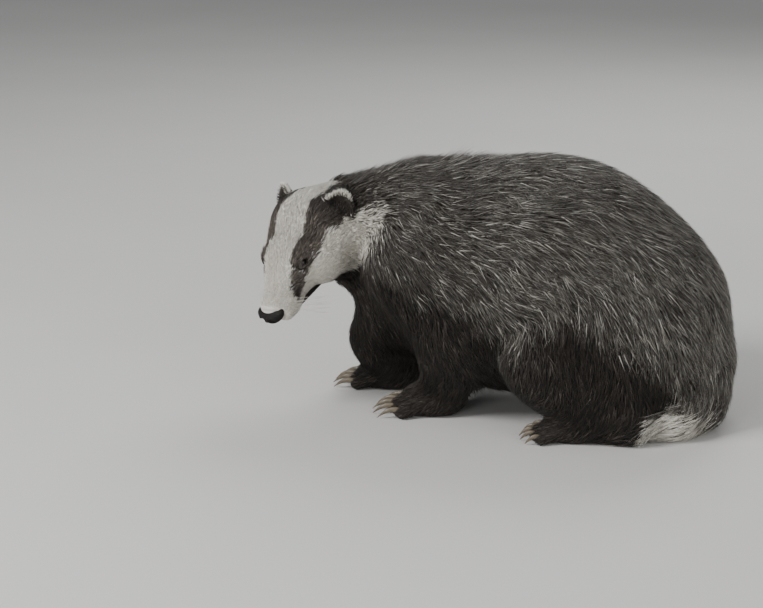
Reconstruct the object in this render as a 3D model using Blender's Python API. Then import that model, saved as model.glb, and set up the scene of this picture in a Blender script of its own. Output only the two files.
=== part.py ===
import bmesh
import bpy
import numpy as np
from math import radians, sin, cos, pi

# Driving dimensions, in metres and degrees

GAP = 0.0003
BODY_VOXEL = 0.0130
LIMB_VOXEL = 0.0090
HEAD_VOXEL = 0.0052
PAW_VOXEL = 0.0054
BODY_SHARE = 0.18
LIMB_SHARE = 0.17
HEAD_SHARE = 0.22
PAW_SHARE = 0.13
SEED = 91
LOCK_LENGTH = 0.094
LOCK_WIDTH = 0.051
LOCK_THICK = 0.0058
LOCK_ROOT = 0.0060
TAIL_LOCK_LENGTH = 0.060
TAIL_LOCK_WIDTH = 0.034
HEAD_AT = np.array([-0.2303, -0.0346, 0.1951])
HEAD_ANGLES = (180 + 67.5, 48.3, 3.1)
NECK_CUT_AT = np.array([-0.148, 0.0, 0.120])
NECK_CUT_NORMAL = np.array([-0.94, -0.10, 0.32])
EYE_AT = np.array([0.0635, 0.0232, 0.0024])
EYE_RADIUS = 0.0048
EAR_AT = np.array([0.0015, 0.0350, 0.0000])
EAR_RADII = np.array([0.0085, 0.0150, 0.0190])
CUP_RADII = np.array([0.0080, 0.0112, 0.0145])
CUP_SHIFT = 0.0052
FORE_PAW = (0.056, 0.050, 0.030)
HIND_PAW = (0.052, 0.042, 0.026)
FORE_TOE = 0.0080
HIND_TOE = 0.0072
FORE_CLAW = 0.024
HIND_CLAW = 0.015
MOUTH_GROOVE = 0.0013


# Forms: each mass is an ellipsoid or a tapered rod, and its lie is the way the hair points

def turn(yaw, pitch, roll):
    a, b, c = (radians(v) for v in (yaw, pitch, roll))
    rz = np.array([[cos(a), -sin(a), 0], [sin(a), cos(a), 0], [0, 0, 1]])
    ry = np.array([[cos(b), 0, sin(b)], [0, 1, 0], [-sin(b), 0, cos(b)]])
    rx = np.array([[1, 0, 0], [0, cos(c), -sin(c)], [0, sin(c), cos(c)]])
    return rz @ ry @ rx


HEAD_TURN = turn(*HEAD_ANGLES)


class Ball:
    def __init__(self, centre, radii, blend, lie, axes=None, coat=0.0):
        self.centre = np.array(centre, float)
        self.radii = np.array(radii, float)
        self.blend = blend
        self.lie = np.array(lie, float)
        self.axes = np.eye(3) if axes is None else axes
        self.coat = coat

    def dist(self, p):
        q = (p - self.centre) @ self.axes
        k0 = np.linalg.norm(q / self.radii, axis=1)
        k1 = np.linalg.norm(q / self.radii ** 2, axis=1) + 1e-9
        return k0 * (k0 - 1) / k1

    def moved(self, m, o):
        return Ball(m @ self.centre + o, self.radii, self.blend, m @ self.lie, m @ self.axes, self.coat)


class Limb:
    def __init__(self, start, end, r1, r2, blend, lie=None, coat=0.0):
        self.start = np.array(start, float)
        self.end = np.array(end, float)
        self.r1 = r1
        self.r2 = r2
        self.blend = blend
        d = self.end - self.start
        self.lie = d / np.linalg.norm(d) if lie is None else np.array(lie, float)
        self.coat = coat

    def dist(self, p):
        d = self.end - self.start
        t = np.clip((p - self.start) @ d / (d @ d), 0, 1)
        away = np.linalg.norm(p - self.start - t[:, None] * d, axis=1)
        return away - (self.r1 + t * (self.r2 - self.r1))

    def moved(self, m, o):
        start = m @ self.start + o
        end = m @ self.end + o
        return Limb(start, end, self.r1, self.r2, self.blend, m @ self.lie, self.coat)


def smooth_min(a, b, k):
    h = np.clip(0.5 + 0.5 * (a - b) / k, 0, 1)
    return a + (b - a) * h - k * h * (1 - h)


def field(masses, p):
    d = masses[0].dist(p)
    for m in masses[1:]:
        d = smooth_min(d, m.dist(p), m.blend)
    return d


def slope(masses, p, e=4e-4):
    """Gradient of the field by four samples round each point."""
    corners = np.array([[1, -1, -1], [-1, -1, 1], [-1, 1, -1], [1, 1, 1]], float)
    return sum(c * field(masses, p + e * c)[:, None] for c in corners) / (4 * e)


def shares(masses, p):
    """How much each mass has to say at each point, by nearness."""
    d = np.stack([m.dist(p) for m in masses], 1)
    w = np.exp(-(d - d.min(1, keepdims=True)) / 0.012)
    return w / w.sum(1, keepdims=True)


def coat_depth(masses, p):
    return shares(masses, p) @ np.array([m.coat for m in masses])


def lie_of(masses, p, n):
    """The way the hair points along the surface, for points with outward normals n."""
    v = shares(masses, p) @ np.array([m.lie / np.linalg.norm(m.lie) for m in masses])
    v = v - n * (v * n).sum(1, keepdims=True)
    return v / (np.linalg.norm(v, axis=1, keepdims=True) + 1e-9)


def outward(masses, p):
    g = slope(masses, p)
    return g / (np.linalg.norm(g, axis=1, keepdims=True) + 1e-9)


def both(make):
    return [make(1), make(-1)]


def in_head(masses):
    return [m.moved(HEAD_TURN, HEAD_AT) for m in masses]


def head_masses():
    back = (-1, 0, -0.05)
    m = [Ball((0.011, 0, -0.013), (0.037, 0.047, 0.036), 0.012, back)]
    m.append(Ball((0.046, 0, -0.010), (0.046, 0.034, 0.026), 0.012, back))
    cheek = (0.046, 0.025, 0.029)
    jowl = (0.029, 0.026, 0.030)
    m += both(lambda s: Ball((0.022, s * 0.026, -0.024), cheek, 0.012, (-1, 0.25 * s, -0.1)))
    m += both(lambda s: Ball((-0.001, s * 0.034, -0.039), jowl, 0.015, (-1, 0.35 * s, -0.2)))
    m.append(Limb((0.052, 0, -0.014), (0.101, 0, -0.0165), 0.0265, 0.0175, 0.008, back))
    m += both(lambda s: Ball((0.097, s * 0.0100, -0.0215), (0.019, 0.0115, 0.0110), 0.005, back))
    m += both(lambda s: Ball((0.055, s * 0.0160, 0.0060), (0.015, 0.0095, 0.0080), 0.008, back))
    m.append(Limb((0.012, 0, -0.046), (0.088, 0, -0.0335), 0.024, 0.0100, 0.008, back))
    m.append(Ball((0.1115, 0, -0.0125), (0.0105, 0.0145, 0.0110), 0.003, back))
    return in_head(m)


def nose_masses():
    return in_head([Ball((0.1165, 0, -0.0150), (0.0105, 0.0165, 0.0115), 0.003, (1, 0, 0))])


def neck_masses():
    nape = (-0.204, -0.012, 0.180)
    m = [Limb(nape, (-0.142, 0, 0.171), 0.043, 0.068, 0.020, (0.9, 0, -0.3), 0.008)]
    throat = (-0.198, -0.012, 0.149)
    m.append(Limb(throat, (-0.150, 0, 0.141), 0.038, 0.048, 0.020, (0.7, 0, -0.65), 0.006))
    m.append(Limb((-0.138, 0.002, 0.104), (-0.170, 0.012, 0.055), 0.054, 0.036, 0.030, (0.2, 0, -1), 0.006))
    return m


def trunk_masses():
    m = [Ball((-0.096, 0, 0.1536), (0.088, 0.100, 0.0871), 0.025, (0.9, 0, -0.4), coat=0.010)]
    m.append(Ball((-0.008, 0, 0.1373), (0.145, 0.114, 0.113), 0.025, (0.93, 0, -0.35), coat=0.010))
    m.append(Ball((0.0785, 0, 0.108), (0.0945, 0.118, 0.0826), 0.030, (0.5, 0, -0.85), coat=0.010))
    m.append(Ball((0.115, 0, 0.0535), (0.067, 0.090, 0.054), 0.030, (0.4, 0, -0.9), coat=0.010))
    m.append(Ball((-0.040, 0, 0.085), (0.110, 0.088, 0.064), 0.025, (0.5, 0, -0.85), coat=0.010))
    return m


def paw_masses(at, heading, size, toe):
    """A flat-soled foot of five toes, its heading a turn about the vertical."""
    long, wide, high = size
    palm = (long * 0.55, wide * 0.48, high * 0.62)
    m = [Ball((long * 0.40, 0, high * 0.42), palm, 0.010, (1, 0, -0.2))]
    for a in (-1, -0.5, 0, 0.5, 1):
        root = (long * 0.60, a * wide * 0.34, high * 0.40)
        tip = (long * (1.0 - 0.14 * a * a), a * wide * 0.50, toe * 0.75)
        m.append(Limb(root, tip, toe * 1.05, toe * 0.85, 0.004, (1, 0, -0.2)))
    return [x.moved(turn(heading, 0, 0), np.array(at, float)) for x in m]


def fore_at(s):
    """Place and heading of a fore paw: the far one stands a little ahead."""
    if s < 0:
        return (-0.084, -0.048, 0), 188
    return (-0.146, 0.022, 0), 176


def hind_at(s):
    return (0.058, s * 0.096, 0), 180 - s * 6


def fore_leg_masses(s):
    shoulder = (-0.120, s * 0.060, 0.150)
    elbow = (-0.072, s * 0.072, 0.096)
    x, y, z = fore_at(s)[0]
    wrist = (x - 0.008, y + s * 0.002, 0.028)
    m = [Limb(shoulder, elbow, 0.045, 0.038, 0.025, (0.2, 0, -1), 0.005)]
    m.append(Limb((-0.072, s * 0.070, 0.094), wrist, 0.037, 0.025, 0.02, (-0.3, 0, -1)))
    return m


def hind_leg_masses(s):
    knee = (0.012, s * 0.100, 0.070)
    heel = (0.090, s * 0.092, 0.019)
    m = [Ball((0.052, s * 0.084, 0.076), (0.070, 0.042, 0.068), 0.025, (0.1, 0, -1), coat=0.008)]
    m.append(Limb(knee, (0.086, s * 0.090, 0.032), 0.036, 0.026, 0.02, (-0.2, 0, -1), 0.005))
    m.append(Limb(heel, (0.045, s * 0.096, 0.016), 0.021, 0.018, 0.015, (-1, 0, -0.3)))
    return m


def fore_leg_room(s):
    """What is cut out as the fore leg: steep walls through the flank, close round the limb."""
    x, y, z = fore_at(s)[0]
    wrist = (x - 0.006, y + s * 0.004, 0.022)
    m = [Limb((-0.118, s * 0.104, 0.150), (-0.072, s * 0.112, 0.096), 0.050, 0.046, 0.01)]
    m.append(Limb((-0.072, s * 0.092, 0.094), wrist, 0.048, 0.040, 0.01))
    return m


def hind_leg_room(s):
    m = [Ball((0.050, s * 0.128, 0.076), (0.078, 0.086, 0.076), 0.01, (0, 0, -1))]
    m.append(Limb((0.092, s * 0.096, 0.019), (0.040, s * 0.100, 0.016), 0.030, 0.030, 0.01))
    return m


def head_room():
    """The head's own masses, fuller under the jaw, so that the cut stands clear of the fillets."""
    return [Ball(m.centre, m.radii + 0.002, m.blend, m.lie, m.axes) if isinstance(m, Ball)
            else Limb(m.start, m.end, m.r1 + 0.002, m.r2 + 0.002, m.blend) for m in head_masses()]


def fore_paw_masses(s):
    at, heading = fore_at(s)
    return paw_masses(at, heading, FORE_PAW, FORE_TOE)


def hind_paw_masses(s):
    at, heading = hind_at(s)
    return paw_masses(at, heading, HIND_PAW, HIND_TOE)


def tail_masses():
    run = [(0.134, 0.000, 0.044), (0.150, -0.034, 0.027), (0.130, -0.066, 0.020), (0.098, -0.084, 0.016)]
    thick = [0.034, 0.027, 0.022, 0.013]
    return [Limb(run[i], run[i + 1], thick[i], thick[i + 1], 0.015, coat=0.006) for i in range(3)]


def all_masses():
    m = trunk_masses() + neck_masses() + tail_masses()
    for s in (-1, 1):
        m += fore_leg_masses(s) + fore_paw_masses(s) + hind_leg_masses(s) + hind_paw_masses(s)
    return m + head_masses()


# Meshes

def pick(objects):
    bpy.ops.object.select_all(action="DESELECT")
    for o in objects:
        o.select_set(True)
    bpy.context.view_layer.objects.active = objects[0]


def run_modifier(obj, modifier):
    pick([obj])
    bpy.ops.object.modifier_apply(modifier=modifier.name)


def lump(mass):
    """The primitives of one mass, as one object."""
    if isinstance(mass, Ball):
        bpy.ops.mesh.primitive_uv_sphere_add(segments=32, ring_count=20, radius=1.0)
        obj = bpy.context.object
        place(obj, (mass.axes * mass.radii).T, mass.centre)
        return obj
    made = []
    for at, r in ((mass.start, mass.r1), (mass.end, mass.r2)):
        bpy.ops.mesh.primitive_uv_sphere_add(segments=24, ring_count=16, radius=r, location=at)
        bpy.ops.object.transform_apply(location=True, rotation=True, scale=True)
        made.append(bpy.context.object)
    d = mass.end - mass.start
    length = np.linalg.norm(d)
    bpy.ops.mesh.primitive_cone_add(vertices=24, radius1=mass.r1, radius2=mass.r2, depth=length)
    cone = bpy.context.object
    axis = d / length
    side = np.cross(axis, (0, 0, 1) if abs(axis[2]) < 0.9 else (1, 0, 0))
    side /= np.linalg.norm(side)
    place(cone, np.array([side, np.cross(axis, side), axis]), (mass.start + mass.end) / 2)
    made.append(cone)
    pick(made)
    bpy.ops.object.join()
    return bpy.context.object


def place(obj, rows, origin):
    """Writes a turn and a place into the mesh: rows are the images of the three axes."""
    put_points(obj, get_points(obj) @ rows + origin)


def get_points(obj):
    co = np.empty(len(obj.data.vertices) * 3)
    obj.data.vertices.foreach_get("co", co)
    return co.reshape(-1, 3)


def put_points(obj, points):
    obj.data.vertices.foreach_set("co", np.asarray(points, float).ravel())
    obj.data.update()


def get_edges(obj):
    e = np.empty(len(obj.data.edges) * 2, dtype=np.int32)
    obj.data.edges.foreach_get("vertices", e)
    return e.reshape(-1, 2)


def settle(points, edges, masses, level, rounds=7, bare=False):
    """Draws the points on to a level of the field, under the coat if bare, and evens them out."""
    count = np.bincount(edges.ravel(), minlength=len(points))[:, None]
    for k in range(rounds):
        for again in range(2 if k < rounds - 1 else 4):
            g = slope(masses, points)
            size = np.linalg.norm(g, axis=1, keepdims=True) + 1e-6
            goal = level - coat_depth(masses, points) if bare else level
            step = (field(masses, points) - goal)[:, None] / size
            points = points - g / size * np.clip(step, -0.006, 0.006)
        if k < rounds - 1:
            mean = np.zeros_like(points)
            np.add.at(mean, edges[:, 0], points[edges[:, 1]])
            np.add.at(mean, edges[:, 1], points[edges[:, 0]])
            away = mean / count - points
            n = g / size
            points = points + 0.6 * (away - n * (away * n).sum(1, keepdims=True))
    return points


def form(name, shape, whole, voxel, level=0.0, share=1.0, bare=False):
    """A closed mesh round the masses of shape, drawn on to a level of the whole's field."""
    parts = [lump(m) for m in shape]
    pick(parts)
    if len(parts) > 1:
        bpy.ops.object.join()
    obj = bpy.context.object
    obj.name = name
    remesh = obj.modifiers.new("Remesh", "REMESH")
    remesh.mode = "VOXEL"
    remesh.voxel_size = voxel
    run_modifier(obj, remesh)
    put_points(obj, settle(get_points(obj), get_edges(obj), whole, level, bare=bare))
    run_modifier(obj, obj.modifiers.new("Triangles", "TRIANGULATE"))
    if share < 1:
        thin = obj.modifiers.new("Thin", "DECIMATE")
        thin.ratio = share
        run_modifier(obj, thin)
    return obj


def copy_of(obj, name):
    twin = obj.copy()
    twin.data = obj.data.copy()
    twin.name = name
    bpy.context.scene.collection.objects.link(twin)
    return twin


def grown(obj, masses, by):
    """A twin of a cutter, its points moved out along the field by a distance."""
    twin = copy_of(obj, obj.name + "_wide")
    p = get_points(obj)
    g = slope(masses, p)
    put_points(twin, p + by * g / (np.linalg.norm(g, axis=1, keepdims=True) + 1e-9))
    return twin


def boolean(obj, tool, operation, keep=False):
    cut = obj.modifiers.new("Cut", "BOOLEAN")
    cut.operation = operation
    cut.solver = "MANIFOLD"
    cut.object = tool
    run_modifier(obj, cut)
    if not keep:
        remove(tool)


def remove(obj):
    bpy.data.objects.remove(obj, do_unlink=True)


def fuse(obj, tools):
    """One union of an object with a collection of tools, which are then removed."""
    group = bpy.data.collections.new("Fused")
    bpy.context.scene.collection.children.link(group)
    for t in tools:
        group.objects.link(t)
        bpy.context.scene.collection.objects.unlink(t)
    union = obj.modifiers.new("Fuse", "BOOLEAN")
    union.operation = "UNION"
    union.operand_type = "COLLECTION"
    union.solver = "MANIFOLD"
    union.collection = group
    run_modifier(obj, union)
    for t in tools:
        remove(t)
    bpy.data.collections.remove(group)


def shells(obj):
    """A number for each vertex: that of the closed surface it belongs to."""
    label = np.arange(len(obj.data.vertices))
    e = get_edges(obj)
    while True:
        low = np.minimum(label[e[:, 0]], label[e[:, 1]])
        new = label.copy()
        np.minimum.at(new, e[:, 0], low)
        np.minimum.at(new, e[:, 1], low)
        new = new[new]
        if (new == label).all():
            return label
        label = new


def keep_largest(obj):
    """Keeps only the largest closed surface of a mesh."""
    label = shells(obj)
    names, first = np.unique(label, return_inverse=True)
    if len(names) == 1:
        return
    p = get_points(obj)
    spans = [np.prod(np.ptp(p[first == i], axis=0)) for i in range(len(names))]
    stay = first == int(np.argmax(spans))
    bm = bmesh.new()
    bm.from_mesh(obj.data)
    bmesh.ops.delete(bm, geom=[v for v, keep in zip(bm.verts, stay) if not keep], context="VERTS")
    bm.to_mesh(obj.data)
    bm.free()


def mesh_object(name, points, faces):
    mesh = bpy.data.meshes.new(name)
    mesh.from_pydata([tuple(p) for p in points], [], faces)
    mesh.update()
    obj = bpy.data.objects.new(name, mesh)
    bpy.context.scene.collection.objects.link(obj)
    return obj


def sweep(name, path, across, thick, wide, sides):
    """A closed tapered tube along a path; across gives its wide direction at each station."""
    path = np.array(path, float)
    points = []
    for i, p in enumerate(path):
        d = path[min(i + 1, len(path) - 1)] - path[max(i - 1, 0)]
        d /= np.linalg.norm(d)
        u = across[i] - d * (across[i] @ d)
        u /= np.linalg.norm(u)
        v = np.cross(d, u)
        for k in range(sides):
            a = 2 * pi * k / sides
            points.append(p + u * cos(a) * wide[i] + v * sin(a) * thick[i])
    faces = [tuple(range(sides))[::-1]]
    last = (len(path) - 1) * sides
    for i in range(len(path) - 1):
        for k in range(sides):
            n = (k + 1) % sides
            faces.append((i * sides + k, i * sides + n, (i + 1) * sides + n, (i + 1) * sides + k))
    faces.append(tuple(last + k for k in range(sides)))
    return mesh_object(name, points, faces)


def ellipsoid(name, centre, radii, axes, segments=20, rings=12):
    bpy.ops.mesh.primitive_uv_sphere_add(segments=segments, ring_count=rings, radius=1.0)
    obj = bpy.context.object
    obj.name = name
    place(obj, (axes * radii).T, centre)
    return obj


def slab(name, at, normal, depth=0.8):
    """A block whose one face lies on the plane through a point, on the side the normal leaves."""
    n = np.array(normal, float)
    n /= np.linalg.norm(n)
    side = np.cross(n, (0, 0, 1) if abs(n[2]) < 0.9 else (1, 0, 0))
    side /= np.linalg.norm(side)
    bpy.ops.mesh.primitive_cube_add(size=depth)
    obj = bpy.context.object
    obj.name = name
    place(obj, np.array([side, np.cross(n, side), n]), np.array(at) - n * depth / 2)
    return obj


# Pieces

def meet(a, b):
    """Whether the boxes round two objects touch."""
    p = get_points(a)
    q = get_points(b)
    return bool((p.min(0) < q.max(0)).all() and (q.min(0) < p.max(0)).all())


def divide(source, rest, masses, grow, voxel):
    """Takes the part of source near the masses, and clears room for it in every object of rest."""
    cutter = form("cutter", masses, masses, voxel, grow)
    wide = grown(cutter, masses, GAP)
    boolean(source, cutter, "INTERSECT")
    for r in rest:
        if meet(r, wide):
            boolean(r, wide, "DIFFERENCE", keep=True)
    remove(wide)
    keep_largest(source)


def local(p):
    """A point of the head's own frame in the model's frame."""
    return HEAD_TURN @ np.array(p, float) + HEAD_AT


def on_skin(masses, p):
    p = np.atleast_2d(np.array(p, float))
    for k in range(6):
        g = slope(masses, p)
        p = p - g * (field(masses, p) / (g * g).sum(1))[:, None]
    return p


def lock_roots(masses, points, length, width, rng):
    """Points of the surface set apart by most of a lock's width across the lie and length along it."""
    n = outward(masses, points)
    lie = lie_of(masses, points, n)
    across = np.cross(n, lie)
    kept = []
    for i in rng.permutation(len(points)):
        if kept:
            d = points[kept] - points[i]
            along = (d @ lie[i]) / (length * 0.57)
            aside = (d @ across[i]) / (width * 0.80)
            up = (d @ n[i]) / (width * 0.80)
            if (along ** 2 + aside ** 2 + up ** 2).min() < 1:
                continue
        kept.append(i)
    return points[kept]


def lock(masses, root, length, width, rng):
    """One flat tapered lock, marched along the lie from a sunk root to a tip at the coat's outline."""
    length = length * rng.uniform(0.86, 1.12)
    width = width * rng.uniform(0.88, 1.12)
    bend = rng.normal(0, 0.10) + np.linspace(0, rng.normal(0, 0.22), 4)
    rise = np.array([-LOCK_ROOT, 0.0018, 0.0062, 0.0098])
    p = root[None]
    path = []
    sides = []
    for k in range(4):
        n = outward(masses, p)
        level = rise[k] * (1 if k == 0 else coat_depth(masses, p)[0] / 0.010) - coat_depth(masses, p)[0]
        for again in range(3):
            g = slope(masses, p)
            p = p - g * ((field(masses, p) - level) / (g * g).sum(1))[:, None]
        way = lie_of(masses, p, n)
        side = np.cross(n, way)
        path.append(p[0])
        sides.append(side[0])
        p = p + (way * cos(bend[k]) + side * sin(bend[k])) * length / 3
    wide = width / 2 * np.array([0.62, 1.0, 0.86, 0.10])
    thick = LOCK_THICK / 2 * np.array([1.0, 1.05, 0.85, 0.16])
    return sweep("lock", path, sides, thick, wide, 4)


def locks(masses, points, length, width, seed):
    rng = np.random.default_rng(seed)
    roots = lock_roots(masses, points, length, width, rng)
    return [lock(masses, r, length, width, rng) for r in roots]


def mouth_line(masses):
    """The line of the mouth, one groove from corner to corner under the nose."""
    t = np.linspace(-1, 1, 13)
    x = 0.1060 - 0.034 * t ** 2
    y = 0.0240 * np.sin(t * pi / 2)
    z = -0.0300 - 0.0030 * t ** 2
    path = on_skin(masses, [local(p) for p in np.stack([x, y, z], 1)])
    n = slope(masses, path)
    size = MOUTH_GROOVE * np.clip(1.25 - np.abs(t), 0.35, 1)
    return sweep("mouth_line", path, n, size * 0.7, size * 1.3, 4)


def lids(masses, s):
    """The two lids of one eye, as a soft almond ring on the head."""
    at = local(EYE_AT * (1, s, 1))
    n = slope(masses, at[None])[0]
    n /= np.linalg.norm(n)
    ahead = HEAD_TURN[:, 0] - n * (HEAD_TURN[:, 0] @ n)
    ahead /= np.linalg.norm(ahead)
    up = np.cross(n, ahead)
    parts = []
    for half in (0, 1):
        a = np.linspace(-0.1, 1.1, 6) * pi + half * pi
        ring = np.outer(np.cos(a) * 0.0063, ahead) + np.outer(np.sin(a) * 0.0042, up)
        path = at + ring + n * 0.0016
        thick = 0.0014 + 0.0009 * np.sin(np.clip((a - half * pi) / pi, 0, 1) * pi)
        parts.append(sweep("lid", path, np.repeat(n[None], 6, 0), thick, thick * 1.4, 4))
    return parts


def ear_axes(s):
    """Columns: the way the cup faces, the ear's width, and its height."""
    face = np.array([0.58, 0.42 * s, 0.70])
    face /= np.linalg.norm(face)
    high = np.array([-0.80, 0.16 * s, 0.56])
    high -= face * (high @ face)
    high /= np.linalg.norm(high)
    return HEAD_TURN @ np.stack([face, np.cross(high, face), high], 1)


def make_ear(name, s, rest):
    """One cupped ear, its root let into the head and neck."""
    axes = ear_axes(s)
    at = local(EAR_AT * (1, s, 1))
    ear = ellipsoid(name, at, EAR_RADII, axes, 14, 9)
    cup = ellipsoid("cup", at + axes[:, 0] * CUP_SHIFT - axes[:, 2] * 0.0008, CUP_RADII, axes, 12, 8)
    boolean(ear, cup, "DIFFERENCE")
    for r in rest:
        boolean(r, ellipsoid("seat", at, EAR_RADII + GAP, axes, 14, 9), "DIFFERENCE")
    return ear


def claws(at, heading, size, toe, length):
    """Five curved claws, each rooted in the end of its toe."""
    m = turn(heading, 0, 0)
    made = []
    for a in (-1, -0.5, 0, 0.5, 1):
        tip = np.array([size[0] * (1.0 - 0.14 * a * a), a * size[1] * 0.50, toe * 0.95])
        ahead = np.array([1, 0.12 * a, 0])
        t = np.linspace(0, 1, 4)
        rise = toe * 0.35 * np.sin(t * pi) - toe * 0.80 * t ** 2
        path = tip + np.outer(t * length, ahead) + np.outer(rise, (0, 0, 1))
        thick = np.array([0.42, 0.36, 0.24, 0.07]) * toe
        across = np.repeat((m @ (0, 1, 0))[None], 4, 0)
        made.append(sweep("claw", path @ m.T + at, across, thick, thick * 0.75, 4))
    return made


def nostrils():
    made = []
    for s in (1, -1):
        t = np.linspace(0, 1, 6)
        x = 0.1245 - 0.0100 * t
        y = s * (0.0042 + 0.0100 * t)
        z = -0.0125 - 0.0035 * np.sin(t * pi * 0.9)
        path = [local(p) for p in np.stack([x, y, z], 1)]
        thick = np.array([0.0016, 0.0025, 0.0023, 0.0017, 0.0012, 0.0007])
        across = np.repeat((HEAD_TURN @ (0, 0, 1))[None], 6, 0)
        made.append(sweep("nostril", path, across, thick, thick, 6))
    return made


# Build

MATERIALS = {
    "badger_head_coat": ((0.62, 0.60, 0.55, 1), 0.75),
    "badger_ear_coat": ((0.10, 0.09, 0.08, 1), 0.75),
    "badger_body_coat": ((0.20, 0.19, 0.17, 1), 0.80),
    "badger_leg_coat": ((0.05, 0.045, 0.04, 1), 0.80),
    "badger_tail_coat": ((0.60, 0.57, 0.50, 1), 0.80),
    "badger_nose_leather": ((0.025, 0.022, 0.022, 1), 0.40),
    "badger_eye_surface": ((0.02, 0.012, 0.008, 1), 0.08),
}

SLOTS = {"head": "badger_head_coat", "ear": "badger_ear_coat", "neck": "badger_body_coat",
         "torso": "badger_body_coat", "tail": "badger_tail_coat", "nose": "badger_nose_leather",
         "eye": "badger_eye_surface"}


def paint(obj, slot):
    if slot not in bpy.data.materials:
        material = bpy.data.materials.new(slot)
        material.use_nodes = True
        shader = material.node_tree.nodes["Principled BSDF"]
        shader.inputs["Base Color"].default_value = MATERIALS[slot][0]
        shader.inputs["Roughness"].default_value = MATERIALS[slot][1]
    obj.data.materials.clear()
    obj.data.materials.append(bpy.data.materials[slot])
    pick([obj])
    bpy.ops.object.shade_smooth_by_angle(angle=radians(40))


def main():
    for o in list(bpy.data.objects):
        bpy.data.objects.remove(o, do_unlink=True)
    masses = all_masses()
    trunk = trunk_masses()
    rest = form("torso", masses, masses, BODY_VOXEL, 0.0, BODY_SHARE, bare=True)
    scalp = form("scalp", masses, masses, 0.009, 0.0, bare=True)
    skin = get_points(scalp)
    remove(scalp)
    long_coat = coat_depth(masses, skin) > 0.0055
    by_tail = field(tail_masses(), skin)
    by_fore = np.minimum(field(fore_leg_room(-1), skin), field(fore_leg_room(1), skin))
    facing = outward(masses, skin)[:, 2]
    free = (by_tail > 0.012) & (by_fore > 0.0) & (field(head_room(), skin) > 0.010)
    rows = skin[long_coat & free & (facing > -0.45) & (skin[:, 2] > 0.040)]
    body_locks = locks(masses, rows, LOCK_LENGTH, LOCK_WIDTH, SEED)
    fuse(rest, body_locks)
    shape = head_masses() + neck_masses() + trunk[:1]
    head = form("head", shape, masses, HEAD_VOXEL, 0.0, HEAD_SHARE, bare=True)
    shape = tail_masses() + trunk[2:4] + hind_leg_masses(-1)
    tail = form("tail", shape, masses, LIMB_VOXEL, 0.0, LIMB_SHARE, bare=True)
    brush = skin[(by_tail < 0.003) & (skin[:, 2] > 0.012)]
    fuse(tail, locks(masses, brush, TAIL_LOCK_LENGTH, TAIL_LOCK_WIDTH, SEED + 1))
    queue = [(head, head_room(), 0.004, 0.018), (tail, tail_masses(), 0.010, 0.017)]
    legs = []
    for side, s in (("left", -1), ("right", 1)):
        foot = fore_paw_masses(s)
        shape = foot + fore_leg_masses(s)
        paw = form("paw_front_" + side, shape, masses, PAW_VOXEL, 0.0, PAW_SHARE, bare=True)
        queue.append((paw, foot, 0.003, 0.010))
        shape = fore_leg_masses(s) + trunk + neck_masses()
        upper = form("leg_front_" + side, shape, masses, LIMB_VOXEL, 0.0, LIMB_SHARE, bare=True)
        legs.append((upper, fore_leg_room(s), 0.0, 0.022))
        foot = hind_paw_masses(s)
        shape = foot + hind_leg_masses(s)
        paw = form("paw_hind_" + side, shape, masses, PAW_VOXEL, 0.0, PAW_SHARE, bare=True)
        queue.append((paw, foot, 0.003, 0.010))
        legs.append((copy_of(rest, "leg_hind_" + side), hind_leg_room(s), 0.0, 0.024))
    queue += legs
    for i, (source, near, grow, voxel) in enumerate(queue):
        divide(source, [q[0] for q in queue[i + 1:]] + [rest], near, grow, voxel)
    nodes = {q[0].name: q[0] for q in queue}

    neck = copy_of(rest, "neck")
    boolean(neck, slab("front", NECK_CUT_AT, -NECK_CUT_NORMAL), "INTERSECT")
    behind = NECK_CUT_AT - NECK_CUT_NORMAL / np.linalg.norm(NECK_CUT_NORMAL) * GAP
    boolean(rest, slab("front_wide", behind, -NECK_CUT_NORMAL), "DIFFERENCE")
    nodes["neck"] = neck
    nodes["torso"] = rest

    floor = slab("floor", (0, 0, 0), (0, 0, 1))
    for name in nodes:
        if name not in ("head", "neck"):
            boolean(nodes[name], floor, "DIFFERENCE", keep=True)
    remove(floor)

    for side, s in (("left", -1), ("right", 1)):
        at, heading = fore_at(s)
        fuse(nodes["paw_front_" + side], claws(at, heading, FORE_PAW, FORE_TOE, FORE_CLAW))
        at, heading = hind_at(s)
        fuse(nodes["paw_hind_" + side], claws(at, heading, HIND_PAW, HIND_TOE, HIND_CLAW))

    for side, s in (("left", 1), ("right", -1)):
        nodes["ear_" + side] = make_ear("ear_" + side, s, [head, nodes["neck"]])
        fuse(head, lids(masses, s))
        at = local(EYE_AT * (1, s, 1))
        ball = np.full(3, EYE_RADIUS)
        nodes["eye_" + side] = ellipsoid("eye_" + side, at, ball, HEAD_TURN, 12, 7)
        boolean(head, ellipsoid("socket", at, ball + GAP, HEAD_TURN, 12, 7), "DIFFERENCE")
    boolean(head, mouth_line(masses), "DIFFERENCE")
    nose = copy_of(head, "nose")
    divide(nose, [head], nose_masses(), 0.0, 0.0042)
    nodes["nose"] = nose
    for hole in nostrils():
        boolean(nose, hole, "DIFFERENCE")

    for name, obj in nodes.items():
        keep_largest(obj)
        obj.name = name
        obj.data.name = name
        paint(obj, SLOTS.get(name.split("_")[0], "badger_leg_coat"))
    low = np.min([get_points(o).min(0) for o in nodes.values()], axis=0)
    high = np.max([get_points(o).max(0) for o in nodes.values()], axis=0)
    shift = np.array([-(low[0] + high[0]) / 2, -(low[1] + high[1]) / 2, -low[2]])
    for o in nodes.values():
        put_points(o, get_points(o) + shift)


if __name__ == "__main__":
    main()
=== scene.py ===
import bmesh
import bpy
import numpy as np
from math import radians, sin, cos, pi
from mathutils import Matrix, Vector
from mathutils.kdtree import KDTree


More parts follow.
